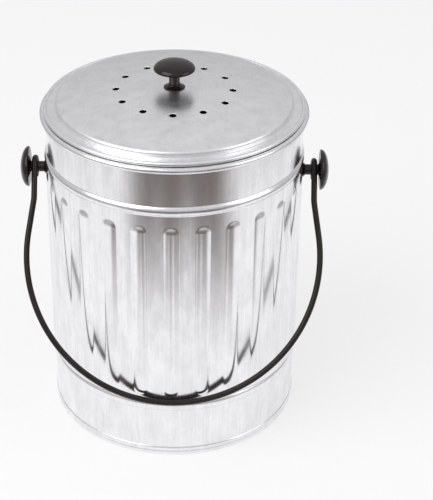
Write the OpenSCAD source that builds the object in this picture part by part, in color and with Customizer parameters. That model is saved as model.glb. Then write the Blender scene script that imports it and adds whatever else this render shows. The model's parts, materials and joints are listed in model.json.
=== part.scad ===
// Galvanised kitchen compost caddy: fluted bucket, swinging wire bail, lift-off lid with two filter pads.
// Millimetres. The origin is on the table under the middle of the bucket, +Z up, the front at -Y.

/* [Bucket] */
// Outer diameter of the wall between its beads
wall_d = 187; // [175:1:200]
// Height from the table to the top of the rim
body_h = 245; // [232:1:260]
// Thickness of the bucket's sheet
sheet_t = 0.7; // [0.5:0.1:0.9]
// Diameter of the curl rolled outward at the rim
curl_d = 4.7; // [4.2:0.1:5.4]
// Height of the hem that joins the floor to the wall
hem_h = 7; // [6:0.5:9]
// Height of the floor above the table
floor_lift = 5; // [3:0.5:6]

/* [Flutes] */
// Number of flutes pressed into the wall
flute_count = 26; // [22:2:30]
// Width of one flute at the wall's face
flute_w = 14; // [10:0.5:15]
// Depth of a flute
flute_depth = 2.2; // [1.4:0.1:2.8]
// Height of the flutes' lower ends above the table
flute_low = 54; // [52:1:70]
// Distance from the rim's top down to the flutes' upper ends
flute_drop = 47; // [44:1:60]

/* [Beads] */
// Distance from the rim's top down to the upper bead's middle
upper_bead_drop = 35; // [28:1:39]
// Height of the upper bead along the wall
upper_bead_h = 7; // [5:0.5:8]
// How far the upper bead stands out from the wall
upper_bead_out = 1.8; // [1:0.1:2.2]
// Height of the lower bead's middle above the table
lower_bead_z = 45; // [30:1:47]
// Height of the lower bead along the wall
lower_bead_h = 8; // [6:0.5:9]
// How far the lower bead stands out from the wall
lower_bead_out = 1.5; // [1:0.1:2]

/* [Seam] */
// Width of the lock seam down the rear of the wall
seam_w = 5; // [3:0.5:6]
// How far the seam stands out from the wall
seam_out = 0.7; // [0.4:0.1:1]

/* [Bail] */
// Distance from the rim's top down to the bail's pivot axis
pivot_drop = 50.5; // [48:0.5:55]
// Diameter of the bail's coated wire
wire_d = 4.4; // [4:0.1:5.2]
// Distance from the pivot axis to the middle of the wire at its far end
bail_reach = 173.2; // [165:0.1:178]
// How far the hoop bulges out past its eyes, to the middle of the wire
bail_bulge = 5; // [4:0.5:6]
// Angle at which the wire spreads below each eye, in degrees
side_spread = 8.5; // [7.5:0.1:9.5]
// Radius of the bend from the upright wire below the eye to the spread
side_bend_r = 25; // [15:1:30]

/* [Knobs] */
// Diameter of a knob's head
knob_d = 30; // [26:0.5:34]
// Height of the domed front of a knob's head
knob_dome_h = 6; // [4:0.5:8]
// Height of the coned back of a knob's head
knob_back_h = 1.5; // [1.3:0.1:3]
// Diameter of a knob's spindle, on which the bail's eye turns
spindle_d = 7.8; // [7.4:0.1:8.4]
// Length of the spindle from the collar to the head
spindle_len = 10.2; // [9:0.1:12]
// Diameter of a collar's foot
collar_d = 15.6; // [13:0.1:18]
// Height of a collar
collar_h = 2.6; // [2:0.1:3.5]
// Gap between the spindle and the bail's eye, all round
eye_gap = 0.3; // [0.25:0.05:0.5]
// Gap between the bail's eye and the back of the knob's head
eye_end_gap = 1.2; // [0.9:0.1:1.6]

/* [Fasteners] */
// Diameter of the screws
screw_d = 4; // [3.5:0.1:4.2]
// Diameter of a screw's head
screw_head_d = 7.6; // [7:0.1:8.4]
// Height of a screw's head
screw_head_h = 2.6; // [2:0.1:3]
// Diameter of a washer
washer_d = 9; // [8.5:0.1:9.8]
// Thickness of a washer
washer_t = 0.8; // [0.6:0.1:1.2]
// Outer diameter of the threaded insert in a knob
insert_d = 5.6; // [5.2:0.1:6]
// Length of the threaded insert
insert_len = 6; // [4:0.5:7]

/* [Lid] */
// Diameter of the bead rolled round the lid's edge
lid_bead_d = 3.2; // [2.8:0.1:3.8]
// How far the lid's bead sits inside the middle of the rim's curl
lid_bead_inset = 1.85; // [1.2:0.05:2.2]
// Gap between the bucket's wall and the pan that plugs into it
plug_gap = 4.3; // [2:0.1:7]
// Depth of the pan below the lid's bead
plug_depth = 17.2; // [15:0.1:22]
// Corner radius round the pan's face
plug_corner_r = 2.2; // [1.5:0.1:3]
// Thickness of the lid's sheets
lid_sheet_t = 0.6; // [0.5:0.1:0.8]
// Diameter of the window in the pan's face
window_d = 103; // [90:1:115]
// Height of the lip turned up round the window
lip_h = 1.2; // [0.8:0.1:2]
// Distance from the middle of the lid's bead in to the cover's raised step
step_inset = 7.3; // [5:0.1:14]
// Height of the cover's raised step
step_h = 5; // [3.5:0.5:7]
// Corner radius round the top of the step
step_corner_r = 2.5; // [1.5:0.1:3]
// Rise of the cover's dome above the step
dome_h = 8; // [6:0.5:12]

/* [Filter] */
// Thickness of one filter pad
pad_t = 5; // [3:0.5:5.5]
// Gap round the pads inside the pan
pad_gap = 0.5; // [0.3:0.1:1.5]
// Number of vent holes in the cover
vent_count = 12; // [8:1:16]
// Diameter of a vent hole
vent_d = 5; // [3:0.5:7]
// Diameter of the ring on which the vent holes lie
vent_ring_d = 84; // [60:1:110]

/* [Hidden] */
$fn = 96;

// Bucket
wall_r = wall_d / 2;
inner_r = wall_r - sheet_t;
curl_r = curl_d / 2;
curl_mid_r = inner_r + curl_r;
curl_mid_z = body_h - curl_r;
hem_chamfer = 0.4;
upper_bead_z = body_h - upper_bead_drop;
seam_span = 2 * asin(seam_w / (2 * wall_r));
seam_top = curl_mid_z - 0.6 * curl_r;

// Flutes: each is a capsule laid against the wall, so its width and depth set the capsule's radius
flute_r = (pow(flute_w / 2, 2) + pow(flute_depth, 2)) / (2 * flute_depth);
flute_mid_r = wall_r - flute_depth + flute_r;
flute_low_mid = flute_low + flute_w / 2;
flute_high_mid = body_h - flute_drop - flute_w / 2;

// Knobs, measured outward from the face that their collar sits on
spindle_end = collar_h;
head_back = spindle_end + spindle_len;
head_rim = head_back + knob_back_h;
head_tip = head_rim + knob_dome_h;
knob_rim_t = 0.8;
screw_play = 0.4;
thread_gap = 0.1;
screw_tip = spindle_end + insert_len - 0.5;
bore_end = spindle_end + insert_len + 1.5;

// Bail, in its own frame: the pivot axis along X, the hoop hanging along -Z
pivot_z = body_h - pivot_drop;
wire_r = wire_d / 2;
eye_r = spindle_d / 2 + eye_gap + wire_r;
eye_x = wall_r + head_back - eye_end_gap - wire_r;
bail_r = eye_x + bail_bulge;
hoop_drop = bail_reach - bail_r;
spread_in = (eye_x + side_bend_r) * cos(side_spread);
side_drop = hoop_drop - (bail_r + side_bend_r - spread_in) / sin(side_spread);
side_len = (bail_r * cos(side_spread) - eye_x - side_bend_r * (1 - cos(side_spread))) / sin(side_spread);
wire_end_gap = 0.4;
// A ball a hair fuller than the wire joins each straight side to its bends
joint_r = wire_r + 0.05;
joint_play = 0.1;
eye_open = acos(1 - (wire_d + wire_end_gap) / eye_r);

// The bail leans forward until its wire meets the wall, or the lower bead where that reaches further
rest_gap = 0.35;
lower_bead_r = bead_r(lower_bead_h, lower_bead_out);
lower_bead_mid_r = wall_r + lower_bead_out - lower_bead_r;
wall_contact = wall_r + wire_r + rest_gap;
far_end = norm([bail_reach, eye_r]);
contact_z = pivot_z - sqrt(pow(far_end, 2) - pow(wall_contact, 2));
bead_reach = lower_bead_r + wire_r + rest_gap;
bead_contact = lower_bead_mid_r + sqrt(max(0, pow(bead_reach, 2) - pow(contact_z - lower_bead_z, 2)));
bail_lean = asin(max(wall_contact, bead_contact) / far_end) - atan2(eye_r, bail_reach);

// Lid
lid_bead_r = lid_bead_d / 2;
lid_gap = 0.3;
lid_bead_mid_r = curl_mid_r - lid_bead_inset;
lid_z = curl_mid_z + sqrt(pow(curl_r + lid_bead_r + lid_gap, 2) - pow(lid_bead_inset, 2));
plug_r = inner_r - plug_gap;
pan_face_z = lid_z - plug_depth;
pan_floor_z = pan_face_z + lid_sheet_t;
window_r = window_d / 2;
pad_z = pan_floor_z + lip_h;
pad_r = plug_r - lid_sheet_t - pad_gap;
step_r = lid_bead_mid_r - step_inset;
step_z = lid_z + lid_sheet_t + step_h;
dome_edge_r = step_r - step_corner_r;
dome_r = (pow(dome_edge_r, 2) + pow(dome_h, 2)) / (2 * dome_h);
dome_mid_z = step_z + dome_h - dome_r;
knob_seat_r = collar_d / 2 + 1.2;
knob_seat_z = dome_mid_z + sqrt(pow(dome_r, 2) - pow(knob_seat_r, 2));

galvanised = [0.80, 0.81, 0.82];
moulded_black = [0.06, 0.05, 0.05];
coated_black = [0.09, 0.08, 0.08];
felt_black = [0.03, 0.03, 0.03];
plated_steel = [0.72, 0.72, 0.70];
brass = [0.78, 0.62, 0.32];

// Radius of an arc that is h high along the wall and stands out by out
function bead_r(h, out) = (pow(h / 2, 2) + pow(out, 2)) / (2 * out);

// Half section of the bucket as a filled area, shrunk by inset, so that two of them leave the sheet
module bucket_area(inset) {
    top = curl_mid_z;
    square([wall_r - inset, top]);
    bead_area(upper_bead_z, upper_bead_h, upper_bead_out, inset);
    bead_area(lower_bead_z, lower_bead_h, lower_bead_out, inset);
}

module bead_area(z, h, out, inset) {
    r = bead_r(h, out);
    translate([wall_r + out - r, z])
        circle(r - inset);
}

module curl_area() {
    translate([curl_mid_r, curl_mid_z]) {
        difference() {
            circle(curl_r);
            circle(curl_r - sheet_t);
            // the sheet's edge stops short of the wall
            translate([sheet_t - curl_r, -0.8 * curl_r])
                square([0.5, 0.6 * curl_r]);
        }
    }
}

// One flute's capsule, made bigger by grow
module flute(grow) {
    r = flute_r + grow;
    translate([flute_mid_r, 0, 0])
        rotate_extrude()
            intersection() {
                union() {
                    translate([0, flute_low_mid])
                        circle(r);
                    translate([0, flute_high_mid])
                        circle(r);
                    translate([0, flute_low_mid])
                        square([r, flute_high_mid - flute_low_mid]);
                }
                translate([0, flute_low_mid - r])
                    square([r, flute_high_mid - flute_low_mid + 2 * r]);
            }
}

// The sheet's two edges are folded together on the flat between two flutes
module seam() {
    rotate([0, 0, 90 + 180 / flute_count - seam_span / 2])
        rotate_extrude(angle = seam_span)
            intersection() {
                difference() {
                    bucket_area(-seam_out);
                    bucket_area(sheet_t / 2);
                }
                translate([0, hem_h + 0.3])
                    square([wall_d, seam_top - hem_h - 0.3]);
            }
}

// The first flute is at the front
module flutes(grow) {
    for (i = [0 : flute_count - 1])
        rotate([0, 0, -90 + i * 360 / flute_count])
            flute(grow);
}

// Puts a knob and what belongs to it on the side wall: side is -1 for the left and 1 for the right
module on_side(side) {
    translate([side * wall_r, 0, pivot_z])
        rotate([0, side * 90, 0])
            children();
}

// Puts the lid's knob on the middle of the cover
module on_lid() {
    translate([0, 0, knob_seat_z])
        children();
}

module body_shell() {
    color(galvanised)
        difference() {
            union() {
                difference() {
                    rotate_extrude()
                        intersection() {
                            bucket_area(0);
                            translate([0, sheet_t])
                                square([wall_d, curl_mid_z - sheet_t]);
                        }
                    flutes(0);
                }
                rotate_extrude()
                    curl_area();
                seam();
            }
            difference() {
                rotate_extrude()
                    intersection() {
                        bucket_area(sheet_t);
                        square([wall_d, body_h]);
                    }
                flutes(sheet_t);
            }
            for (side = [-1, 1])
                on_side(side)
                    cylinder(d = screw_d + screw_play, h = 20, center = true);
        }
}

// The floor is locked round the wall's lower edge by a folded hem
module base_pan() {
    hem_r = wall_r + sheet_t;
    leg_r = inner_r - sheet_t;
    color(galvanised)
        rotate_extrude()
            difference() {
                polygon([
                    [0, floor_lift],
                    [leg_r, floor_lift],
                    [leg_r, hem_chamfer],
                    [leg_r + hem_chamfer, 0],
                    [hem_r - hem_chamfer, 0],
                    [hem_r, hem_chamfer],
                    [hem_r, hem_h],
                    [wall_r, hem_h],
                    [wall_r, sheet_t],
                    [inner_r, sheet_t],
                    [inner_r, floor_lift + sheet_t],
                    [0, floor_lift + sheet_t],
                ]);
            }
}

// One side of the hoop, side -1 or 1, and the open eye bent at its top to turn on the spindle
module bail_side(side) {
    mirror([side < 0 ? 1 : 0, 0, 0])
        translate([eye_x, -eye_r, 0]) {
            translate([0, eye_r, 0])
                rotate([0, 90, 0])
                    rotate([0, 0, eye_open - 90])
                        rotate_extrude(angle = 360 - eye_open)
                            translate([eye_r, 0])
                                circle(wire_r);
            sphere(joint_r);
            translate([0, 0, joint_play - side_drop])
                cylinder(r = wire_r, h = side_drop - 2 * joint_play);
            translate([0, 0, -side_drop])
                sphere(joint_r);
            translate([side_bend_r, 0, -side_drop]) {
                rotate([90, 0, 0])
                    rotate([0, 0, 180])
                        rotate_extrude(angle = side_spread)
                            translate([side_bend_r, 0])
                                circle(wire_r);
                rotate([0, -side_spread, 0])
                    translate([-side_bend_r, 0, 0]) {
                        sphere(joint_r);
                        translate([0, 0, joint_play - side_len])
                            cylinder(r = wire_r, h = side_len - 2 * joint_play);
                        translate([0, 0, -side_len])
                            sphere(joint_r);
                    }
            }
        }
}

module bail_wire() {
    color(coated_black)
        translate([0, 0, pivot_z])
            rotate([-bail_lean, 0, 0]) {
                bail_side(-1);
                bail_side(1);
                translate([0, -eye_r, -hoop_drop])
                    rotate([90, 0, 0])
                        rotate([0, 0, 180 - side_spread])
                            rotate_extrude(angle = 180 + 2 * side_spread)
                                translate([bail_r, 0])
                                    circle(wire_r);
            }
}

// Knob, spindle and head in one moulding, with a blind hole for the insert and the screw's tip
module knob() {
    head_r = knob_d / 2;
    arc_steps = 12;
    color(moulded_black)
        difference() {
            rotate_extrude()
                polygon(concat(
                    [
                        [0, spindle_end],
                        [spindle_d / 2, spindle_end],
                        [spindle_d / 2, head_back],
                        [head_r - knob_rim_t, head_rim - knob_rim_t],
                        [head_r, head_rim],
                    ],
                    [for (i = [1 : arc_steps - 1])
                        let (a = i * 90 / arc_steps)
                        [head_r * cos(a), head_rim + knob_dome_h * sin(a)]],
                    [[0, head_tip]]
                ));
            translate([0, 0, spindle_end])
                cylinder(d = insert_d, h = insert_len);
            cylinder(d = screw_d + screw_play, h = bore_end);
        }
}

// Coned collar between a knob's spindle and the sheet it is screwed to
module knob_collar() {
    color(moulded_black)
        difference() {
            union() {
                translate([0, 0, -1])
                    cylinder(d = collar_d, h = 1.6);
                translate([0, 0, 0.6])
                    cylinder(d1 = collar_d, d2 = spindle_d + 1.6, h = collar_h - 0.6);
            }
            children();
            translate([0, 0, -2])
                cylinder(d = screw_d + screw_play, h = collar_h + 4);
        }
}

module knob_insert() {
    color(brass)
        translate([0, 0, spindle_end])
            difference() {
                cylinder(d = insert_d, h = insert_len);
                cylinder(d = screw_d + thread_gap, h = insert_len);
            }
}

// seat is how far behind the outer face the washer lies
module knob_washer(seat) {
    color(plated_steel)
        translate([0, 0, -seat - washer_t])
            difference() {
                cylinder(d = washer_d, h = washer_t);
                cylinder(d = screw_d + screw_play, h = washer_t);
            }
}

module knob_screw(seat) {
    under_head = -seat - washer_t;
    color(plated_steel)
        difference() {
            union() {
                translate([0, 0, under_head - screw_head_h])
                    cylinder(d1 = screw_head_d - 1.6, d2 = screw_head_d, h = 1);
                translate([0, 0, under_head - screw_head_h + 1])
                    cylinder(d = screw_head_d, h = screw_head_h - 1);
                translate([0, 0, under_head])
                    cylinder(d = screw_d, h = screw_tip - under_head);
            }
            for (a = [0, 90])
                rotate([0, 0, a])
                    translate([-screw_d / 2, -0.5, under_head - screw_head_h])
                        cube([screw_d, 1, 1.4]);
        }
}

// Behind the curved wall the washer's edge touches first
wall_seat = wall_r - sqrt(pow(inner_r, 2) - pow(washer_d / 2, 2));

module side_knob(side) {
    on_side(side)
        knob();
}

// The foot is hollowed to the wall's curve
module side_knob_collar(side) {
    on_side(side)
        knob_collar()
            translate([0, 0, -wall_r])
                rotate([0, 90, 0])
                    cylinder(r = wall_r, h = 2 * collar_d, center = true, $fn = 720);
}

module side_knob_insert(side) {
    on_side(side)
        knob_insert();
}

module side_knob_screw(side) {
    on_side(side)
        knob_screw(wall_seat);
}

module side_knob_washer(side) {
    on_side(side)
        knob_washer(wall_seat);
}

// Half section of the lid's cover as a filled area, shrunk by inset
module cover_area(inset) {
    square([lid_bead_mid_r, lid_z + lid_sheet_t - inset]);
    square([step_r - inset, step_z - step_corner_r]);
    square([dome_edge_r, step_z - inset]);
    translate([dome_edge_r, step_z - step_corner_r])
        circle(step_corner_r - inset);
    intersection() {
        translate([0, dome_mid_z])
            circle(dome_r - inset, $fn = 360);
        square([dome_edge_r, knob_seat_z - inset]);
    }
}

module lid_cover() {
    color(galvanised)
        difference() {
            rotate_extrude()
                difference() {
                    union() {
                        difference() {
                            cover_area(0);
                            cover_area(lid_sheet_t);
                            square([lid_bead_mid_r, lid_z]);
                        }
                        difference() {
                            translate([lid_bead_mid_r, lid_z])
                                circle(lid_bead_r);
                            translate([lid_bead_mid_r, lid_z])
                                circle(lid_bead_r - lid_sheet_t);
                        }
                    }
                    // the pan's flange enters the rolled bead here
                    translate([0, lid_z - lid_sheet_t])
                        square([lid_bead_mid_r, lid_sheet_t]);
                }
            for (i = [0 : vent_count - 1])
                rotate([0, 0, i * 360 / vent_count])
                    translate([vent_ring_d / 2, 0, lid_z])
                        cylinder(d = vent_d, h = step_h + dome_h + 5);
            translate([0, 0, lid_z])
                cylinder(d = screw_d + screw_play, h = step_h + dome_h + 5);
        }
}

module lid_pan() {
    color(galvanised)
        rotate_extrude() {
            // flange held in the cover's bead
            translate([plug_r - lid_sheet_t, lid_z - lid_sheet_t])
                square([lid_bead_mid_r - plug_r + lid_sheet_t, lid_sheet_t]);
            translate([plug_r - lid_sheet_t, pan_face_z + plug_corner_r])
                square([lid_sheet_t, plug_depth - plug_corner_r]);
            intersection() {
                translate([plug_r - plug_corner_r, pan_face_z + plug_corner_r])
                    difference() {
                        circle(plug_corner_r);
                        circle(plug_corner_r - lid_sheet_t);
                    }
                translate([plug_r - plug_corner_r, pan_face_z])
                    square([plug_corner_r, plug_corner_r]);
            }
            translate([window_r, pan_face_z])
                square([plug_r - plug_corner_r - window_r, lid_sheet_t]);
            // lip round the window
            translate([window_r, pan_face_z])
                square([lid_sheet_t, lid_sheet_t + lip_h]);
        }
}

module filter_pad(level) {
    color(felt_black)
        translate([0, 0, pad_z + level * pad_t])
            cylinder(r = pad_r, h = pad_t);
}

module upper_filter() {
    filter_pad(1);
}

module lower_filter() {
    filter_pad(0);
}

module lid_knob() {
    on_lid()
        knob();
}

module lid_knob_collar() {
    on_lid()
        knob_collar()
            translate([0, 0, -5])
                cylinder(d = 2 * collar_d, h = 5);
}

module lid_knob_insert() {
    on_lid()
        knob_insert();
}

module lid_knob_screw() {
    on_lid()
        knob_screw(lid_sheet_t);
}

module lid_knob_washer() {
    on_lid()
        knob_washer(lid_sheet_t);
}

body_shell();
base_pan();
bail_wire();
side_knob(-1);  // left_knob
side_knob_collar(-1);  // left_knob_collar
side_knob_insert(-1);  // left_knob_insert
side_knob_screw(-1);  // left_knob_screw
side_knob_washer(-1);  // left_knob_washer
side_knob(1);  // right_knob
side_knob_collar(1);  // right_knob_collar
side_knob_insert(1);  // right_knob_insert
side_knob_screw(1);  // right_knob_screw
side_knob_washer(1);  // right_knob_washer
lid_cover();
lid_pan();
upper_filter();
lower_filter();
lid_knob();
lid_knob_collar();
lid_knob_insert();
lid_knob_screw();
lid_knob_washer();
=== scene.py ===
# Galvanised compost caddy in a plain pale studio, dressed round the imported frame
import bpy
import bmesh
import json
import math
import numpy as np
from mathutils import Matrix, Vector


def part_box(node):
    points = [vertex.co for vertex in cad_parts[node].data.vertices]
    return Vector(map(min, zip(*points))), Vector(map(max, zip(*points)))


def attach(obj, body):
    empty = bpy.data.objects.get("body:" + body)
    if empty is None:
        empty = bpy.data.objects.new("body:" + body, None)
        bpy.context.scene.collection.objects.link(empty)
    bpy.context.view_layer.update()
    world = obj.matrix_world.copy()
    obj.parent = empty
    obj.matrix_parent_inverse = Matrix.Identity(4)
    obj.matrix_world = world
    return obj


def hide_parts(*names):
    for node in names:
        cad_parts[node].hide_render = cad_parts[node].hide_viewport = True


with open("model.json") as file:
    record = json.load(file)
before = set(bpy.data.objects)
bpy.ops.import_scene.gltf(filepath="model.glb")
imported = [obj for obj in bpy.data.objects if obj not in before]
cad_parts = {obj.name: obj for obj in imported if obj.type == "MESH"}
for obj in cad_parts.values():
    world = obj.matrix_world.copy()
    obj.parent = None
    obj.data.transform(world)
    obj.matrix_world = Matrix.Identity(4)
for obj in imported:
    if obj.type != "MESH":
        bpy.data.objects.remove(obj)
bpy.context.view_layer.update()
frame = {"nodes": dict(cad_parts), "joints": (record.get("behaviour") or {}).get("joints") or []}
mm = 0.001
print("frame loaded:", len(frame["nodes"]), "nodes")

# Camera: a long lens from in front and above, as the photograph was taken
cameraSet = {
    "target": (0.0, 0.0, 0.110),
    "distance": 1.174,
    "azimuth": 1.5,
    "elevation": 31.69,
    "lens": 110.0,
    "shiftX": 0.0842,
    "shiftY": 0.030,
}


def makeCamera(s):
    az, el = math.radians(s["azimuth"]), math.radians(s["elevation"])
    back = Vector((math.sin(az) * math.cos(el), -math.cos(az) * math.cos(el), math.sin(el)))
    cam = bpy.data.objects.new("photoCamera", bpy.data.cameras.new("photoCamera"))
    bpy.context.scene.collection.objects.link(cam)
    cam.location = Vector(s["target"]) + back * s["distance"]
    cam.rotation_mode = "QUATERNION"
    cam.rotation_quaternion = (-back).to_track_quat("-Z", "Y")
    cam.data.sensor_width = 36
    cam.data.lens = s["lens"]
    cam.data.shift_x = s["shiftX"]
    cam.data.shift_y = s["shiftY"]
    cam.data.dof.use_dof = False
    bpy.context.scene.camera = cam


makeCamera(cameraSet)


# The span that most of a noise texture's values fall in
midSpan = (0.35, 0.65)


# Node helpers: settings are the node's own fields, inputs are values or sockets to link
def addNode(tree, kind, inputs=None, **settings):
    node = tree.nodes.new(kind)
    for key, value in settings.items():
        setattr(node, key, value)
    for key, value in (inputs or {}).items():
        if isinstance(value, bpy.types.NodeSocket):
            tree.links.new(value, node.inputs[key])
        else:
            node.inputs[key].default_value = value
    return node


def newMaterial(name, sockets):
    material = bpy.data.materials.new(name)
    material.use_nodes = True
    shader = material.node_tree.nodes["Principled BSDF"]
    for key, value in sockets.items():
        shader.inputs[key].default_value = value
    return material, material.node_tree, shader


def noise(tree, where, scale, detail=3.0, roughness=0.55):
    stretched = addNode(tree, "ShaderNodeMapping", {"Vector": where, "Scale": scale}).outputs[0]
    values = {"Vector": stretched, "Scale": 1.0, "Detail": detail, "Roughness": roughness}
    return addNode(tree, "ShaderNodeTexNoise", values).outputs[0]


def cells(tree, where, scale):
    found = addNode(tree, "ShaderNodeTexVoronoi", {"Vector": where, "Scale": scale})
    return addNode(tree, "ShaderNodeSeparateColor", {"Color": found.outputs["Color"]}).outputs[0]


def spread(tree, value, low, high, toLow, toHigh):
    limits = {"Value": value, "From Min": low, "From Max": high, "To Min": toLow, "To Max": toHigh}
    return addNode(tree, "ShaderNodeMapRange", limits).outputs[0]


def ease(tree, value, ends):
    limits = {"Value": value, "From Min": ends[0], "From Max": ends[1]}
    return addNode(tree, "ShaderNodeMapRange", limits, interpolation_type="SMOOTHSTEP").outputs[0]


def combine(tree, kind, a, b):
    return addNode(tree, "ShaderNodeMath", {0: a, 1: b}, operation=kind).outputs[0]


def blendColour(tree, factor, a, b):
    a, b = (c if isinstance(c, bpy.types.NodeSocket) else (*c, 1) for c in (a, b))
    values = {0: factor, 6: a, 7: b}
    return addNode(tree, "ShaderNodeMix", values, data_type="RGBA").outputs[2]


# The ends are the roughness where the noise is low and where it is high
def roughen(tree, shader, value, ends):
    tree.links.new(spread(tree, value, *midSpan, *ends), shader.inputs["Roughness"])


def bump(tree, shader, height, depth, strength=1.0):
    values = {"Height": height, "Distance": depth * mm, "Strength": strength}
    tree.links.new(addNode(tree, "ShaderNodeBump", values).outputs[0], shader.inputs["Normal"])


# Galvanised sheet: zinc spangle, faint clouds, and the streaks that drawing the sheet leaves
wallSteel = {
    "light": (0.93, 0.93, 0.94),
    "dark": (0.75, 0.75, 0.765),
    "streaks": (330.0, 330.0, 9.0),
    "threads": (1300.0, 1300.0, 60.0),
    "streakShare": 0.50,
    "spangle": 420.0,
    "spangleShare": 0.05,
    "toneSpan": (0.28, 0.60),
    "clouds": (110.0, 110.0, 45.0),
    "roughness": (0.15, 0.25),
    # how much of the roughness follows the streaks, and not the clouds
    "streakPart": 0.4,
    "waves": (30.0, 30.0, 12.0),
    "waveDepth": 0.30,
    "streakDepth": 0.010,
}
lidSteel = dict(
    wallSteel,
    dark=(0.76, 0.76, 0.77),
    streaks=(160.0, 160.0, 160.0),
    clouds=(90.0, 90.0, 90.0),
    threads=(900.0, 60.0, 900.0),
    streakShare=0.4,
    roughness=(0.27, 0.35),
    waves=(26.0, 26.0, 26.0),
    waveDepth=0.16,
    streakDepth=0.003,
)


def makeSteel(name, s):
    material, tree, shader = newMaterial(name, {"Metallic": 1.0})
    where = addNode(tree, "ShaderNodeTexCoord").outputs["Object"]
    streak = noise(tree, where, s["streaks"], 4.0)
    thread = noise(tree, where, s["threads"], 2.0)
    cloud = noise(tree, where, s["clouds"], 4.0)
    spangle = cells(tree, where, s["spangle"])
    lines = combine(tree, "ADD", streak, thread)
    drawn = combine(tree, "MULTIPLY", lines, s["streakShare"] / 2)
    zinc = combine(tree, "MULTIPLY", spangle, s["spangleShare"])
    mottle = combine(tree, "MULTIPLY", cloud, 1 - s["spangleShare"] - s["streakShare"])
    tone = combine(tree, "ADD", combine(tree, "ADD", drawn, zinc), mottle)
    factor = spread(tree, tone, *s["toneSpan"], 0.0, 1.0)
    tree.links.new(blendColour(tree, factor, s["dark"], s["light"]), shader.inputs["Base Color"])
    clouded = combine(tree, "MULTIPLY", cloud, 1 - s["streakPart"])
    streaked = combine(tree, "MULTIPLY", streak, s["streakPart"])
    roughen(tree, shader, combine(tree, "ADD", clouded, streaked), s["roughness"][::-1])
    wave = combine(tree, "MULTIPLY", noise(tree, where, s["waves"], 1.0), s["waveDepth"])
    fine = combine(tree, "MULTIPLY", lines, s["streakDepth"])
    bump(tree, shader, combine(tree, "ADD", wave, fine), 1.0)
    return material


# Moulded knobs: glossy, a shade warm, with the faint ripple of a moulding
knobPlastic = {
    "dark": (0.010, 0.006, 0.006),
    "light": (0.020, 0.012, 0.011),
    "roughness": (0.14, 0.26),
    "smear": 90.0,
    "ripple": 160.0,
    "rippleDepth": 0.05,
}


def makePlastic(name, s):
    sockets = {"Specular IOR Level": 0.3, "Coat Weight": 0.15, "Coat Roughness": 0.08}
    material, tree, shader = newMaterial(name, sockets)
    where = addNode(tree, "ShaderNodeTexCoord").outputs["Object"]
    smear = noise(tree, where, (s["smear"],) * 3, 4.0)
    tree.links.new(blendColour(tree, smear, s["dark"], s["light"]), shader.inputs["Base Color"])
    roughen(tree, shader, smear, s["roughness"])
    bump(tree, shader, noise(tree, where, (s["ripple"],) * 3, 1.0), s["rippleDepth"])
    return material


# Coated wire: satin black with a fine orange-peel skin and rubbed patches
wireCoat = {
    "dark": (0.012, 0.008, 0.008),
    "light": (0.026, 0.019, 0.018),
    "roughness": (0.20, 0.34),
    "rub": 60.0,
    "peel": 500.0,
    "peelDepth": 0.012,
}


def makeCoat(name, s):
    material, tree, shader = newMaterial(name, {"Specular IOR Level": 0.25})
    where = addNode(tree, "ShaderNodeTexCoord").outputs["Object"]
    rub = noise(tree, where, (s["rub"],) * 3, 5.0)
    tree.links.new(blendColour(tree, rub, s["dark"], s["light"]), shader.inputs["Base Color"])
    roughen(tree, shader, rub, s["roughness"])
    bump(tree, shader, noise(tree, where, (s["peel"],) * 3, 2.0), s["peelDepth"])
    return material


# Charcoal felt: matted fibres, near black, with paler strands
charcoalFelt = {
    "dark": (0.004, 0.004, 0.0045),
    "light": (0.022, 0.022, 0.024),
    "fibres": (2600.0, 1100.0, 1800.0),
    "crossFibres": (900.0, 2800.0, 1500.0),
    "fibreSpan": (0.48, 0.75),
    "fibreDepth": 0.30,
}


def makeFelt(name, s):
    sockets = {"Roughness": 1.0, "Specular IOR Level": 0.2, "Sheen Weight": 0.12, "Sheen Roughness": 0.6}
    material, tree, shader = newMaterial(name, sockets)
    where = addNode(tree, "ShaderNodeTexCoord").outputs["Object"]
    fibre = noise(tree, where, s["fibres"], 3.0, 0.7)
    cross = noise(tree, where, s["crossFibres"], 3.0, 0.7)
    matted = combine(tree, "MAXIMUM", fibre, cross)
    factor = spread(tree, matted, *s["fibreSpan"], 0.0, 1.0)
    tree.links.new(blendColour(tree, factor, s["dark"], s["light"]), shader.inputs["Base Color"])
    bump(tree, shader, matted, s["fibreDepth"], 0.8)
    return material


# Turned metal for the screws, washers and inserts
platedSteel = {
    "dark": (0.55, 0.55, 0.53),
    "light": (0.80, 0.80, 0.78),
    "roughness": (0.18, 0.34),
    "tarnish": 400.0,
    "toolMarks": 2400.0,
    "markDepth": 0.01,
}
turnedBrass = dict(
    platedSteel,
    dark=(0.62, 0.45, 0.19),
    light=(0.83, 0.65, 0.33),
    roughness=(0.20, 0.38),
)


def makeTurned(name, s):
    material, tree, shader = newMaterial(name, {"Metallic": 1.0})
    where = addNode(tree, "ShaderNodeTexCoord").outputs["Object"]
    tarnish = noise(tree, where, (s["tarnish"],) * 3, 4.0)
    tree.links.new(blendColour(tree, tarnish, s["dark"], s["light"]), shader.inputs["Base Color"])
    roughen(tree, shader, tarnish, s["roughness"])
    bump(tree, shader, noise(tree, where, (s["toolMarks"],) * 3, 1.0), s["markDepth"])
    return material


finishes = {
    "wall": makeSteel("wallSteel", wallSteel),
    "lid": makeSteel("lidSteel", lidSteel),
    "knob": makePlastic("knobPlastic", knobPlastic),
    "wire": makeCoat("wireCoat", wireCoat),
    "felt": makeFelt("charcoalFelt", charcoalFelt),
    "plated": makeTurned("platedSteel", platedSteel),
    "brass": makeTurned("turnedBrass", turnedBrass),
}
print("materials made:", len(finishes))


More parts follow.
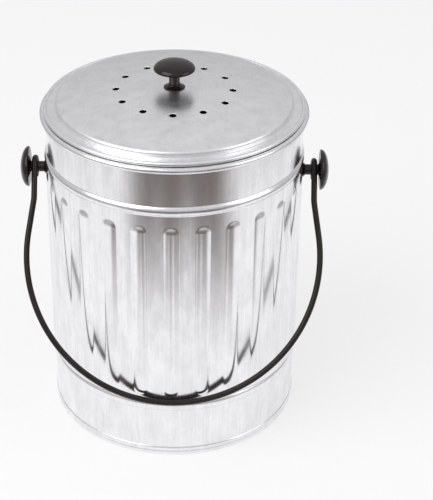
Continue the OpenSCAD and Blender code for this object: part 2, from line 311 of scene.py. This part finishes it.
# Mesh helpers: outlines are lists of (radius, height) in millimetres, with the metal on the left
def arc(midR, midZ, radius, start, end, steps):
    turns = np.radians(np.linspace(start, end, steps + 1))
    return [(midR + radius * math.cos(t), midZ + radius * math.sin(t)) for t in turns]


def gridFaces(rows, columns, closed):
    first = np.arange(rows if closed else rows - 1)[:, None] * columns
    second = (first + columns) % (rows * columns)
    here = np.arange(columns)[None, :]
    after = (here + 1) % columns
    quads = np.stack([first + here, first + after, second + after, second + here], axis=-1)
    return quads.reshape(-1, 4).tolist()


def turnOutline(outline, columns, closed):
    outline = np.array(outline, float)
    turns = np.arange(columns) * 2 * math.pi / columns
    points = np.stack(
        [
            outline[:, :1] * np.cos(turns),
            outline[:, :1] * np.sin(turns),
            np.repeat(outline[:, 1:], columns, axis=1),
        ],
        axis=-1,
    )
    return points, gridFaces(len(outline), columns, closed)


def addPiece(name, points, faces, finish, body, stands=(), sharp=38.0):
    mesh = bpy.data.meshes.new(name)
    mesh.from_pydata((np.reshape(points, (-1, 3)) * mm).tolist(), [], faces)
    tidy = bmesh.new()
    tidy.from_mesh(mesh)
    bmesh.ops.remove_doubles(tidy, verts=tidy.verts, dist=1e-6)
    tidy.to_mesh(mesh)
    tidy.free()
    mesh.shade_smooth()
    mesh.set_sharp_from_angle(angle=math.radians(sharp))
    mesh.materials.append(finishes[finish])
    piece = bpy.data.objects.new(name, mesh)
    bpy.context.scene.collection.objects.link(piece)
    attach(piece, body)
    if stands:
        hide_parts(*stands)
    return piece


# Bucket wall: one sheet with two beads, raised ribs, a rear lock seam and a curled rim
bucket = {
    "wallRadius": 93.5,
    "sheet": 0.7,
    "curlRadius": 2.35,
    "curlHeight": 242.65,
    "curlEnd": -150,
    "beads": ((45.0, 8.0, 1.5), (210.0, 7.0, 1.8)),
    "beadBlend": 0.5,
    "ribs": 26,
    "ribWidth": 10.0,
    "ribRise": 1.2,
    "ribEnds": (54.0, 197.0),
    "shoulder": 0.35,
    "seamWidth": 5.0,
    "seamOut": 0.7,
    "seamEnds": (7.3, 241.2),
    "seamEdges": (0.15, 0.55),  # how far the fold's two edges take to rise
    # degrees from a rib's middle towards the middle of the land beside it
    "ribSteps": (0.0, 0.8, 1.5, 2.1, 2.5, 2.75, 2.95, 3.1, 3.3, 3.6, 4.1, 5.0, 6.0),
    # degrees from the seam's middle, where its folded edges need rows of their own
    "seamSteps": (-1.60, -1.53, -1.45, -1.35, -1.0, 1.0, 1.2, 1.4, 1.53, 1.60),
    # stretches of height with their number of rows
    "rows": (
        (0.7, 7.2, 2), (7.3, 39.0, 4), (39.6, 50.4, 24), (51.5, 52.5, 1), (53.2, 59.6, 17),
        (68.0, 182.0, 10), (191.0, 197.8, 17), (199.0, 203.8, 2), (204.9, 215.1, 24),
        (218.0, 238.0, 4), (240.6, 241.2, 1), (241.3, 242.65, 2),
    ),
}


def smoothMin(a, b, width):
    share = np.clip(0.5 + 0.5 * (b - a) / width, 0, 1)
    return b * (1 - share) + a * share - width * share * (1 - share)


def wallRadiusAt(turn, height, s):
    radius = np.full(np.broadcast(turn, height).shape, s["wallRadius"])
    for middle, tall, out in s["beads"]:
        bow = (tall**2 / 4 + out**2) / (2 * out)
        rise = np.sqrt(np.maximum(bow**2 - (height - middle) ** 2, 0))
        radius = -smoothMin(-radius, -(s["wallRadius"] + out - bow + rise), s["beadBlend"])
    half, rise = s["ribWidth"] / 2, s["ribRise"]
    ribRadius = (half**2 + rise**2) / (2 * rise)
    middle = s["wallRadius"] + rise - ribRadius
    pitch = 360 / s["ribs"]
    aside = np.radians((turn + 90 + pitch / 2) % pitch - pitch / 2)
    past = height - np.clip(height, s["ribEnds"][0] + half, s["ribEnds"][1] - half)
    under = ribRadius**2 - past**2 - (middle * np.sin(aside)) ** 2
    rib = middle * np.cos(aside) + np.sqrt(np.maximum(under, 0))
    return -smoothMin(-radius, -rib, s["shoulder"])


def seamLift(turn, height, s):
    aside = np.radians((turn - 90 - 180 / s["ribs"] + 180) % 360 - 180) * s["wallRadius"]
    half = s["seamWidth"] / 2
    steep, soft = s["seamEdges"]
    folded = np.clip((aside + half) / steep, 0, 1) * np.clip((half - aside) / soft, 0, 1)
    inside = (height >= s["seamEnds"][0]) & (height <= s["seamEnds"][1])
    return s["seamOut"] * folded * inside


def makeWall(s):
    pitch = 360 / s["ribs"]
    steps = np.array(s["ribSteps"])
    onePitch = np.concatenate([steps, [pitch / 2], pitch - steps[:0:-1]])
    turns = np.concatenate([-90 + i * pitch + onePitch for i in range(s["ribs"])])
    seamTurns = 90 + pitch / 2 + np.array(s["seamSteps"])
    turns = np.unique(np.round(np.concatenate([turns, seamTurns]), 5))
    heights = np.concatenate([np.linspace(a, b, n + 1) for a, b, n in s["rows"]])
    face = wallRadiusAt(turns[None, :], heights[:, None], s)
    outer = face + seamLift(turns[None, :], heights[:, None], s)
    inner = (face - s["sheet"])[::-1]
    curlMid = s["wallRadius"] - s["sheet"] + s["curlRadius"]
    hollow = arc(curlMid, s["curlHeight"], s["curlRadius"] - s["sheet"], 180, s["curlEnd"], 22)[1:]
    roll = arc(curlMid, s["curlHeight"], s["curlRadius"], s["curlEnd"], 180, 34)[:-1]
    curl = np.array(hollow + roll)
    ones = np.ones((1, len(turns)))
    radii = np.concatenate([outer, curl[:, :1] * ones, inner])
    levels = np.concatenate([heights, curl[:, 1], heights[::-1]])[:, None] * ones
    angles = np.radians(turns)
    points = np.stack([radii * np.cos(angles), radii * np.sin(angles), levels], axis=-1)
    faces = gridFaces(len(radii), len(turns), True)
    addPiece("bucketWall", points, faces, "wall", "bucket", ["body_shell"], sharp=50)


makeWall(bucket)
print("bucket wall made")

# Floor pan: a disc locked round the wall's lower edge by a hem folded into two ridges
pan = {
    "floor": 5.0,
    "sheet": 0.7,
    "legRadius": 92.1,
    "innerRadius": bucket["wallRadius"] - bucket["sheet"],
    "wallRadius": bucket["wallRadius"],
    "hemRadius": 94.2,
    "hemHeight": 7.0,
    "ridges": ((0.35, 3.45), (3.75, 6.75)),
    "ridgeDepth": 0.45,
    "bend": 0.8,
    "toe": 0.4,
    "hemBend": 0.3,
    "turnUp": 0.5,
    "mouth": (0.03, 0.5),  # how far and how deep the hem's lip opens
    # the hem stands this far off both faces of the wall that it grips
    "wallGap": 0.02,
    "flatRadius": 60,
    "columns": 256,
}


def makeBase(s):
    bend, toe, hemBend, turnUp = s["bend"], s["toe"], s["hemBend"], s["turnUp"]
    valley, top = s["hemRadius"] - s["ridgeDepth"], s["floor"] + s["sheet"]
    outline = [(0, s["floor"]), (s["flatRadius"], s["floor"])]
    outline += arc(s["legRadius"] - bend, s["floor"] - bend, bend, 90, 0, 4)
    outline += arc(s["legRadius"] + toe, toe, toe, 180, 270, 4)
    outline += arc(valley - hemBend, hemBend, hemBend, 270, 350, 4)
    for low, high in s["ridges"]:
        for t in np.linspace(0, 1, 9):
            bulge = math.sin(math.pi * t) ** 0.6 if 0 < t < 1 else 0
            outline.append((valley + s["ridgeDepth"] * bulge, low + t * (high - low)))
    outside, inside = s["wallRadius"] + s["wallGap"], s["innerRadius"] - s["wallGap"]
    wide, deep = s["mouth"]
    outline += [(outside + wide, s["hemHeight"]), (outside, s["hemHeight"] - deep)]
    fold = s["sheet"] - s["wallGap"]
    outline += [(outside, fold), (inside, fold), (inside, top + turnUp)]
    outline += arc(inside - turnUp, top + turnUp, turnUp, 0, -90, 4)
    outline += [(s["flatRadius"], top), (0, top)]
    points, faces = turnOutline(outline, s["columns"], False)
    addPiece("basePan", points, faces, "wall", "bucket", ["base_pan"])


makeBase(pan)
print("floor pan and hem made")

# Bail: one coated wire with an open eye at each end, hung from the side knobs
bail = {
    "wireRadius": 2.2,
    "eyeAcross": 102.9,
    "eyeRadius": 6.4,
    "eyeOpen": 75.5,
    "bendRadius": 25.0,
    "spread": 8.5,
    "hoopRadius": 107.9,
    "reach": 173.2,
    "lean": 31.54,
    "sides": 20,
    "spacing": 2.0,
}


def bailPath(s):
    drop = s["reach"] - s["hoopRadius"]
    rise = math.radians(s["spread"])
    across = (s["eyeAcross"] + s["bendRadius"]) * math.cos(rise)
    upright = drop - (s["hoopRadius"] + s["bendRadius"] - across) / math.sin(rise)
    half = []
    for t in np.radians(np.linspace(s["eyeOpen"] - 90, 270, 60)):
        half.append((s["eyeAcross"], s["eyeRadius"] * math.sin(t), -s["eyeRadius"] * math.cos(t)))
    for t in np.linspace(0, rise, 12):
        x = s["eyeAcross"] + s["bendRadius"] * (1 - math.cos(t))
        half.append((x, -s["eyeRadius"], -upright - s["bendRadius"] * math.sin(t)))
    for t in np.linspace(rise, -math.pi / 2, 90):
        x, z = s["hoopRadius"] * math.cos(t), s["hoopRadius"] * math.sin(t) - drop
        half.append((x, -s["eyeRadius"], z))
    half = np.array(half)
    return np.concatenate([half, (half * (-1, 1, 1))[-2::-1]])


def sweepTube(path, radius, sides, spacing):
    lengths = np.concatenate([[0], np.cumsum(np.linalg.norm(np.diff(path, axis=0), axis=1))])
    total = lengths[-1]
    cap = np.linspace(0, math.pi / 2, 7)
    inward = radius * (1 - np.cos(cap))
    middle = np.linspace(radius, total - radius, int(total / spacing))[1:-1]
    stops = np.concatenate([inward, middle, total - inward[::-1]])
    closing = radius * np.sin(cap)
    sizes = np.concatenate([closing, np.full(len(middle), radius), closing[::-1]])
    near = 0.3  # a ring faces along the path this far ahead of it and behind
    spine, ahead, behind = (
        np.stack([np.interp(stops + step, lengths, path[:, i]) for i in range(3)], axis=-1)
        for step in (0, near, -near)
    )
    forward = ahead - behind
    forward /= np.linalg.norm(forward, axis=1)[:, None]
    side = np.cross(forward[0], (1.0, 0.0, 0.0))
    rings = []
    for point, way, size in zip(spine, forward, sizes):
        side = side - way * np.dot(side, way)
        side /= np.linalg.norm(side)
        other = np.cross(way, side)
        turns = np.arange(sides) * 2 * math.pi / sides
        rings.append(point + size * (np.outer(np.cos(turns), side) + np.outer(np.sin(turns), other)))
    return np.array(rings), gridFaces(len(rings), sides, False)


def makeBail(s, joint):
    rings, faces = sweepTube(bailPath(s), s["wireRadius"], s["sides"], s["spacing"])
    lean = math.radians(-s["lean"])
    turned = rings.copy()
    turned[..., 1] = rings[..., 1] * math.cos(lean) - rings[..., 2] * math.sin(lean)
    turned[..., 2] = rings[..., 1] * math.sin(lean) + rings[..., 2] * math.cos(lean)
    turned += np.array(joint["pos_m"]) / mm
    addPiece("bailWire", turned, faces, "wire", "bail", ["bail_wire"], sharp=60)


bailJoint = next(j for j in frame["joints"] if j["name"] == "bail_swing")
makeBail(bail, bailJoint)
print("bail made")

# Knobs: a domed head on a spindle, standing on a flared collar
knob = {
    "spindleRadius": 3.9,
    "collarTop": 2.6,
    "headBack": 12.8,
    "rim": 14.3,
    "dome": 6.0,
    "headRadius": 15.0,
    "rootFillet": 0.7,
    # the head's back, as distances in from its edge and shares of its depth
    "backCurve": ((7.1, 0.15), (2.2, 0.42), (1.1, 0.52), (0.35, 0.72)),
    "footRadius": 7.8,
    "neckRadius": 4.7,
    "footEdge": 0.6,
    "footRound": 0.25,
    "neckRound": 0.15,
    "flare": 1.45,
    "columns": 72,
}


def knobOutline(s):
    outline = [(0, s["collarTop"]), (s["spindleRadius"], s["collarTop"])]
    root = s["rootFillet"]
    outline += arc(s["spindleRadius"] + root, s["headBack"] - root, root, 180, 90, 5)
    depth = s["rim"] - s["headBack"]
    outline += [(s["headRadius"] - away, s["headBack"] + t * depth) for away, t in s["backCurve"]]
    turns = np.radians(np.linspace(0, 90, 22))
    outline += [(s["headRadius"] * math.cos(t), s["rim"] + s["dome"] * math.sin(t)) for t in turns[:-1]]
    return outline + [(0, s["rim"] + s["dome"])]


def collarOutline(s):
    cone = [(s["footRadius"], 0), (s["footRadius"], s["footEdge"] * 0.6)]
    wide, top = s["footRadius"] - s["footRound"], s["collarTop"] - s["neckRound"]
    cone += [(wide, s["footEdge"])]
    for t in np.linspace(0, 1, 8)[1:]:
        radius = s["neckRadius"] + (wide - s["neckRadius"]) * (1 - t) ** s["flare"]
        cone.append((radius, s["footEdge"] + t * (top - s["footEdge"])))
    cone += [(s["neckRadius"] - s["neckRound"], s["collarTop"])]
    return [(0, 0)] + cone + [(0, s["collarTop"])]


def sideways(points, side, height):
    x, y, out = points[..., 0], points[..., 1], points[..., 2]
    return np.stack([side * out, y, height - side * x], axis=-1)


def addMoulding(name, points, faces, body, node):
    addPiece(name, points, faces, "knob", body, [node], sharp=45)


def makeKnobs(s, body, wall, height, seat):
    for side, name in ((-1, "left"), (1, "right")):
        points, faces = turnOutline(knobOutline(s), s["columns"], False)
        points[..., 2] += wall
        addMoulding(name + "Knob", sideways(points, side, height), faces, body, name + "_knob")
        points, faces = turnOutline(collarOutline(s), s["columns"], False)
        # the collar's foot follows the curve of the wall
        foot = points[..., 2] <= 0
        curve = np.sqrt(wall**2 - points[..., 1] ** 2) - wall
        points[..., 2] = np.where(foot, curve, points[..., 2]) + wall
        placed = sideways(points, side, height)
        addMoulding(name + "Collar", placed, faces, body, name + "_knob_collar")
    for outline, name, node in (
        (knobOutline(s), "lidKnob", "lid_knob"),
        (collarOutline(s), "lidCollar", "lid_knob_collar"),
    ):
        points, faces = turnOutline(outline, s["columns"], False)
        points[..., 2] += seat
        addMoulding(name, points, faces, "lid", node)


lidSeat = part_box("lid_knob_collar")[0][2] / mm
makeKnobs(knob, "bucket", bucket["wallRadius"], bailJoint["pos_m"][2] / mm, lidSeat)
print("knobs and collars made, the lid's on its seat at", round(lidSeat, 2), "mm")

# Lid cover: a raised step and a shallow dome with a ring of vent holes, rolled over at its edge
cover = {
    "sheet": 0.6,
    "beadRadius": 1.6,
    "beadAcross": 93.3,
    "beadHeight": 246.476,
    "stepRadius": 86.0,
    "stepTop": 252.076,
    "stepCorner": 2.5,
    "stepFoot": 0.9,
    "edgeInset": 1.0,
    "edgeTurn": 0.5,
    "domeMargin": 1.5,
    "domeRadius": 439.8,
    "domeRise": 8.0,
    "seatRadius": 9.0,
    "centreHole": 2.2,
    "ventRing": 42.0,
    "ventRadius": 2.5,
    # the vent's rounded edge, as distances out from its bore and down from the sheet's top
    "ventEdge": ((0.22, 0.0), (0.07, 0.07), (0.0, 0.2)),
    "ventBack": 0.1,
    "vents": 12,
    "ventBand": (36.0, 48.0),
    "perSector": 16,
    "bandSides": 8,
    # how the rings of points close in from the sector's border to the vent
    "closing": (1.0, 0.72, 0.48, 0.28, 0.12),
}


def domeHeight(radius, s):
    middle = s["stepTop"] + s["domeRise"] - s["domeRadius"]
    curve = np.sqrt(s["domeRadius"] ** 2 - np.asarray(radius, float) ** 2)
    seat = math.sqrt(s["domeRadius"] ** 2 - s["seatRadius"] ** 2)
    return middle + np.minimum(curve, seat)


def coverOuter(s):
    sheet, corner, foot = s["sheet"], s["stepCorner"], s["stepFoot"]
    edge = s["stepRadius"] - corner
    cornerHeight, footHeight = s["stepTop"] - corner, s["beadHeight"] + sheet + foot
    dome = np.linspace(s["ventBand"][1], edge - s["domeMargin"], 10)
    top = [(r, domeHeight(r, s)) for r in dome]
    top += arc(edge, cornerHeight, corner, 88, 0, 10)
    top += arc(s["stepRadius"] + foot, footHeight, foot, 180, 270, 6)
    enter = math.degrees(math.asin(sheet / s["beadRadius"]))
    top += arc(s["beadAcross"], s["beadHeight"], s["beadRadius"], 180 - enter, -180 + enter, 30)
    inset = s["beadAcross"] - s["edgeInset"]
    under = [(inset, s["beadHeight"] - s["edgeTurn"]), (inset, s["beadHeight"])]
    under += arc(s["stepRadius"] + foot, footHeight, foot + sheet, 270, 180, 5)
    under += arc(edge, cornerHeight, corner - sheet, 0, 88, 8)
    return top + under + [(r, domeHeight(r, s) - sheet) for r in dome[::-1]]


def coverCentre(s):
    top = (*np.linspace(s["ventBand"][0], s["seatRadius"] + 1, 9), s["seatRadius"], s["centreHole"])
    outline = [(r, domeHeight(r, s)) for r in top]
    return outline + [(r, domeHeight(r, s) - s["sheet"]) for r in top[::-1]]


def ventSector(s, index):
    low, high = s["ventBand"]
    half = math.pi / s["vents"]
    turns = np.linspace(-half, half, s["perSector"] + 1)
    radii = np.linspace(low, high, s["bandSides"] + 1)
    edge = [(high, t) for t in turns[:-1]] + [(r, half) for r in radii[:0:-1]]
    edge += [(low, t) for t in turns[:0:-1]] + [(r, -half) for r in radii[:-1]]
    edge = np.array(edge)
    border = np.stack([edge[:, 0] * np.cos(edge[:, 1]), edge[:, 0] * np.sin(edge[:, 1])], axis=-1)
    away = border - (s["ventRing"], 0)
    unit = away / np.linalg.norm(away, axis=1)[:, None]
    bore = np.array((s["ventRing"], 0)) + unit * s["ventRadius"]
    rim = bore + unit * s["ventEdge"][0][0]
    rings = [(rim + (border - rim) * share, 0.0) for share in s["closing"]]
    rings += [(bore + unit * out, -down) for out, down in s["ventEdge"]]
    rings += [(bore, s["ventBack"] - s["sheet"]), (rim, -s["sheet"])]
    rings += [(rim + (border - rim) * share, -s["sheet"]) for share in s["closing"][::-1]]
    turn = 2 * half * index
    points = []
    for flat, lower in rings:
        height = domeHeight(np.hypot(flat[:, 0], flat[:, 1]), s) + lower
        x = flat[:, 0] * math.cos(turn) - flat[:, 1] * math.sin(turn)
        y = flat[:, 0] * math.sin(turn) + flat[:, 1] * math.cos(turn)
        points.append(np.stack([x, y, height], axis=-1))
    return np.array(points), gridFaces(len(rings), len(border), False)


def makeCover(s):
    columns = s["vents"] * s["perSector"]
    outerPoints, outerFaces = turnOutline(coverOuter(s)[::-1], columns, False)
    centrePoints, centreFaces = turnOutline(coverCentre(s), columns, True)
    parts = [(outerPoints, outerFaces), (centrePoints, centreFaces)]
    parts += [ventSector(s, i) for i in range(s["vents"])]
    points, faces, count = [], [], 0
    for somePoints, someFaces in parts:
        points.append(somePoints.reshape(-1, 3))
        faces += [[i + count for i in face] for face in someFaces]
        count += len(points[-1])
    points = np.concatenate(points)
    addPiece("lidCover", points, faces, "lid", "lid", ["lid_cover"], sharp=45)


makeCover(cover)
print("lid cover made with", cover["vents"], "vents")

# Lid pan: plugs into the bucket, with a lipped window under the filter pads
lidPan = {
    "sheet": 0.6,
    "plugRadius": 88.5,
    "face": 229.276,
    "corner": 2.2,
    "flange": cover["beadHeight"],
    "flangeReach": 92.2,
    "windowRadius": 51.5,
    "lip": 1.2,
    "shoulder": 0.7,
    "turnUp": 0.9,
    "lipFoot": 0.3,
    "faceRings": (62, 70, 78),
    "columns": 256,
}


def makeLidPan(s):
    sheet, corner, shoulder, turnUp = s["sheet"], s["corner"], s["shoulder"], s["turnUp"]
    under, floor = s["flange"] - sheet, s["face"] + sheet
    midR, midZ = s["plugRadius"] - corner, s["face"] + corner
    outline = [(s["flangeReach"], under)]
    outline += arc(s["plugRadius"] + shoulder, under - shoulder, shoulder, 90, 180, 5)
    outline += arc(midR, midZ, corner, 0, -90, 10)
    outline += [(r, s["face"]) for r in s["faceRings"][::-1]]
    outline += arc(s["windowRadius"] + turnUp, s["face"] + turnUp, turnUp, 270, 180, 6)
    top = floor + s["lip"]
    outline += arc(s["windowRadius"] + sheet / 2, top - sheet / 2, sheet / 2, 180, 0, 6)
    outline += arc(s["windowRadius"] + turnUp, floor + s["lipFoot"], s["lipFoot"], 180, 270, 3)
    outline += [(r, floor) for r in s["faceRings"]]
    outline += arc(midR, midZ, corner - sheet, -90, 0, 8)
    outline += [(s["plugRadius"] - sheet, s["flange"]), (s["flangeReach"], s["flange"])]
    points, faces = turnOutline(outline[::-1], s["columns"], True)
    addPiece("lidPan", points, faces, "lid", "lid", ["lid_pan"])


makeLidPan(lidPan)
print("lid pan made")

# Filter pads: two thick felt discs, softly rounded and a little uneven
pads = {
    "radius": 87.4,
    "thick": 5.0,
    "bottom": lidPan["face"] + lidPan["sheet"] + lidPan["lip"],
    "edge": 1.6,
    "uneven": 0.16,
    "waves": (0.21, 0.17, 0.43, 0.31),
    "columns": 128,
}


def padOutline(s, base):
    low, high = base, base + s["thick"]
    inner = s["radius"] - s["edge"]
    flat = np.linspace(0, inner - 1, 26)
    outline = [(r, low) for r in flat]
    outline += arc(inner, low + s["edge"], s["edge"], -90, 0, 5)
    outline += arc(inner, high - s["edge"], s["edge"], 0, 90, 5)
    return outline + [(r, high) for r in flat[::-1]]


def makePads(s):
    for level, name in ((0, "lower"), (1, "upper")):
        base = s["bottom"] + level * s["thick"]
        points, faces = turnOutline(padOutline(s, base), s["columns"], False)
        middle = base + s["thick"] / 2
        x, y = points[..., 0], points[..., 1]
        a, b, c, d = s["waves"]
        ripple = np.sin(x * a + level) * np.cos(y * b - level) + 0.6 * np.sin(x * c - y * d)
        inward = s["uneven"] * (0.5 + 0.3 * ripple)
        points[..., 2] += np.where(points[..., 2] < middle, inward, -inward)
        stands = [name + "_filter"]
        addPiece(name + "Pad", points, faces, "felt", "lid", stands, sharp=60)


makePads(pads)
print("filter pads made")

# The turned fasteners keep their own solids and take their finishes here
for name, node in frame["nodes"].items():
    if name.endswith(("_screw", "_washer", "_insert")):
        node.data.materials.clear()
        node.data.materials.append(finishes["brass" if name.endswith("_insert") else "plated"])
print("fasteners finished")

# Studio: a floor that is white round the bucket, with painted shade grey further out and darker
# ahead, where the metal mirrors it, under a pale room
studio = {
    "floorSize": 8.0,
    "paper": (0.975, 0.968, 0.972),
    # painted shade on the floor ahead of the bucket, which the metal mirrors
    "shade": (0.17, 0.145, 0.138),
    # starts are in metres from the middle, sides in degrees from straight ahead
    "shadeStart": (0.22, 0.50),
    "shadeLeft": (-46.0, -20.0),
    "shadeRight": (32.0, 58.0),
    # painted shade: the floor turns grey further out and towards the horizon
    "paintedFarShade": (0.46, 0.45, 0.452),
    "paintedFarShadeStart": (0.36, 0.85),
    "behind": (112.0, 145.0),
    "horizonStart": (0.75, 2.6),
    "wander": 0.05,
    "wanderScale": 3.2,
    "glow": 0.58,
    "room": (0.90, 0.90, 0.92),
    "roomLow": (0.62, 0.61, 0.615),
    "roomTop": 0.75,
    "roomStrength": 0.80,
}


def makeFloor(s):
    bpy.ops.mesh.primitive_plane_add(size=s["floorSize"])
    floor = bpy.context.object
    floor.name = "floor"
    material, tree, shader = newMaterial("paleFloor", {"Roughness": 0.9, "Specular IOR Level": 0.1})
    where = addNode(tree, "ShaderNodeTexCoord").outputs["Object"]
    place = addNode(tree, "ShaderNodeSeparateXYZ", {0: where}).outputs
    ahead = combine(tree, "MULTIPLY", place[1], -1.0)
    turned = combine(tree, "ARCTAN2", place[0], ahead)
    far = addNode(tree, "ShaderNodeVectorMath", {0: where}, operation="LENGTH").outputs["Value"]
    way = addNode(tree, "ShaderNodeVectorMath", {0: where}, operation="NORMALIZE").outputs["Vector"]
    drift = noise(tree, way, (s["wanderScale"],) * 3, 1.0)
    near = combine(tree, "ADD", far, spread(tree, drift, *midSpan, -s["wander"], s["wander"]))
    aside = ease(tree, combine(tree, "ABSOLUTE", turned, 0.0), np.radians(s["behind"][::-1]))
    # painted shade: grey further out, except straight behind, and grey towards the horizon
    paintedFarShade = combine(tree, "MULTIPLY", ease(tree, near, s["paintedFarShadeStart"]), aside)
    paintedFarShade = combine(tree, "MAXIMUM", paintedFarShade, ease(tree, far, s["horizonStart"]))
    # painted shade in a wedge ahead of the bucket, starting a little way out
    fromLeft = ease(tree, turned, np.radians(s["shadeLeft"]))
    fromRight = ease(tree, turned, np.radians(s["shadeRight"][::-1]))
    shade = combine(tree, "MULTIPLY", ease(tree, near, s["shadeStart"]), fromLeft)
    shade = combine(tree, "MULTIPLY", shade, fromRight)
    colour = blendColour(tree, paintedFarShade, s["paper"], s["paintedFarShade"])
    colour = blendColour(tree, shade, colour, s["shade"])
    tree.links.new(colour, shader.inputs["Base Color"])
    rays = addNode(tree, "ShaderNodeLightPath").outputs
    seen = combine(tree, "ADD", rays["Is Camera Ray"], rays["Is Glossy Ray"])
    seen = combine(tree, "ADD", seen, rays["Is Transmission Ray"])
    glow = addNode(tree, "ShaderNodeEmission", {"Color": colour, "Strength": 1.0}).outputs[0]
    share = combine(tree, "MULTIPLY", combine(tree, "MINIMUM", seen, 1.0), s["glow"])
    mixed = addNode(tree, "ShaderNodeMixShader", {0: share, 1: shader.outputs[0], 2: glow}).outputs[0]
    tree.links.new(mixed, tree.nodes["Material Output"].inputs["Surface"])
    floor.data.materials.append(material)


def makeRoom(s):
    world = bpy.data.worlds.new("room")
    bpy.context.scene.world = world
    world.use_nodes = True
    tree = world.node_tree
    way = addNode(tree, "ShaderNodeTexCoord").outputs["Generated"]
    up = addNode(tree, "ShaderNodeSeparateXYZ", {0: way}).outputs[2]
    factor = spread(tree, up, 0.0, s["roomTop"], 0.0, 1.0)
    colour = blendColour(tree, factor, s["roomLow"], s["room"])
    tree.links.new(colour, tree.nodes["Background"].inputs["Color"])
    tree.nodes["Background"].inputs["Strength"].default_value = s["roomStrength"]


makeFloor(studio)
makeRoom(studio)

# Lamps: a broad one high on the left and a weaker one on the right
lamps = {
    "keyLamp": {"place": (-1.1, -0.9, 1.5), "size": 1.6, "power": 18.0},
    "fillLamp": {"place": (1.4, -0.5, 0.9), "size": 1.0, "power": 4.0},
}
lampAim = Vector((0.0, 0.0, 0.12))


def addLamp(name, s):
    lamp = bpy.data.objects.new(name, bpy.data.lights.new(name, "AREA"))
    lamp.data.shape = "SQUARE"
    lamp.data.size = s["size"]
    lamp.data.energy = s["power"]
    lamp.location = s["place"]
    lamp.rotation_euler = (lampAim - lamp.location).to_track_quat("-Z", "Y").to_euler()
    bpy.context.scene.collection.objects.link(lamp)


for lampName, lampSet in lamps.items():
    addLamp(lampName, lampSet)
bpy.context.scene.view_settings.view_transform = "Standard"
print("studio made")
